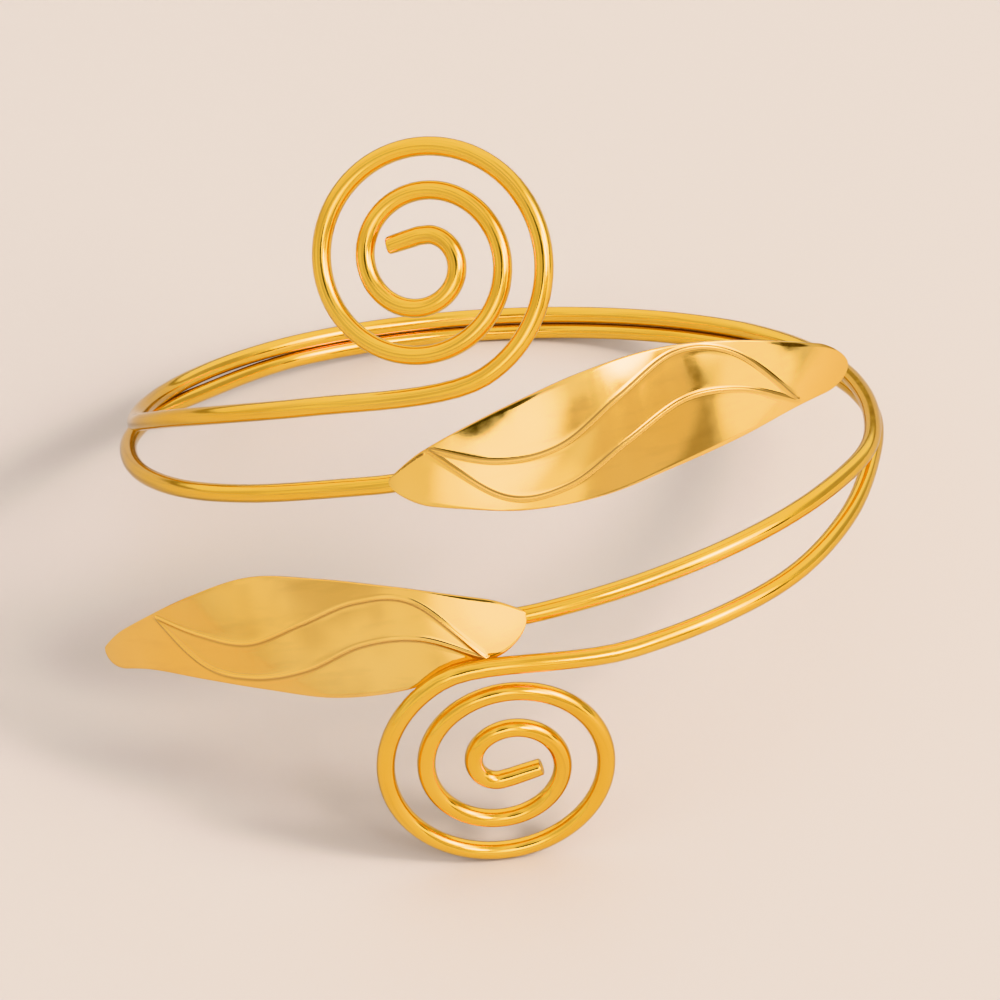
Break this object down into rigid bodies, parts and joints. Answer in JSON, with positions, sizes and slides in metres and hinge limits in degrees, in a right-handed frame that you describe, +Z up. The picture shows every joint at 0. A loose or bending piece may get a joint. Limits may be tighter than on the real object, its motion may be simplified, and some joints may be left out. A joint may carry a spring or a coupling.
{
  "type": "upper arm cuff",
  "caption": "Open upper arm cuff bent from round wires soldered side by side at the back, each ending in a flat spiral coil and a long curved leaf with raised veins.",
  "frame": {"origin": "on the floor, under the middle of the cuff's bounding box as it rests", "axes": "+Z up from the floor; +Y towards the back of the cuff, where the wires are soldered together; +X to the right as seen from the front. The arm's axis leans back from +Z by about 24 degrees, because the cuff rests on its back and its lower coil"},
  "size_m": [0.0886, 0.0936, 0.0735],
  "materials": {
    "wire": "polished, gold-plated",
    "leaf": "satin, gold-plated"
  },
  "bodies": {
    "root": {"upper_wire": "wire", "lower_wire": "wire", "upper_leaf": "leaf", "lower_leaf": "leaf"}
  },
  "joints": []
}
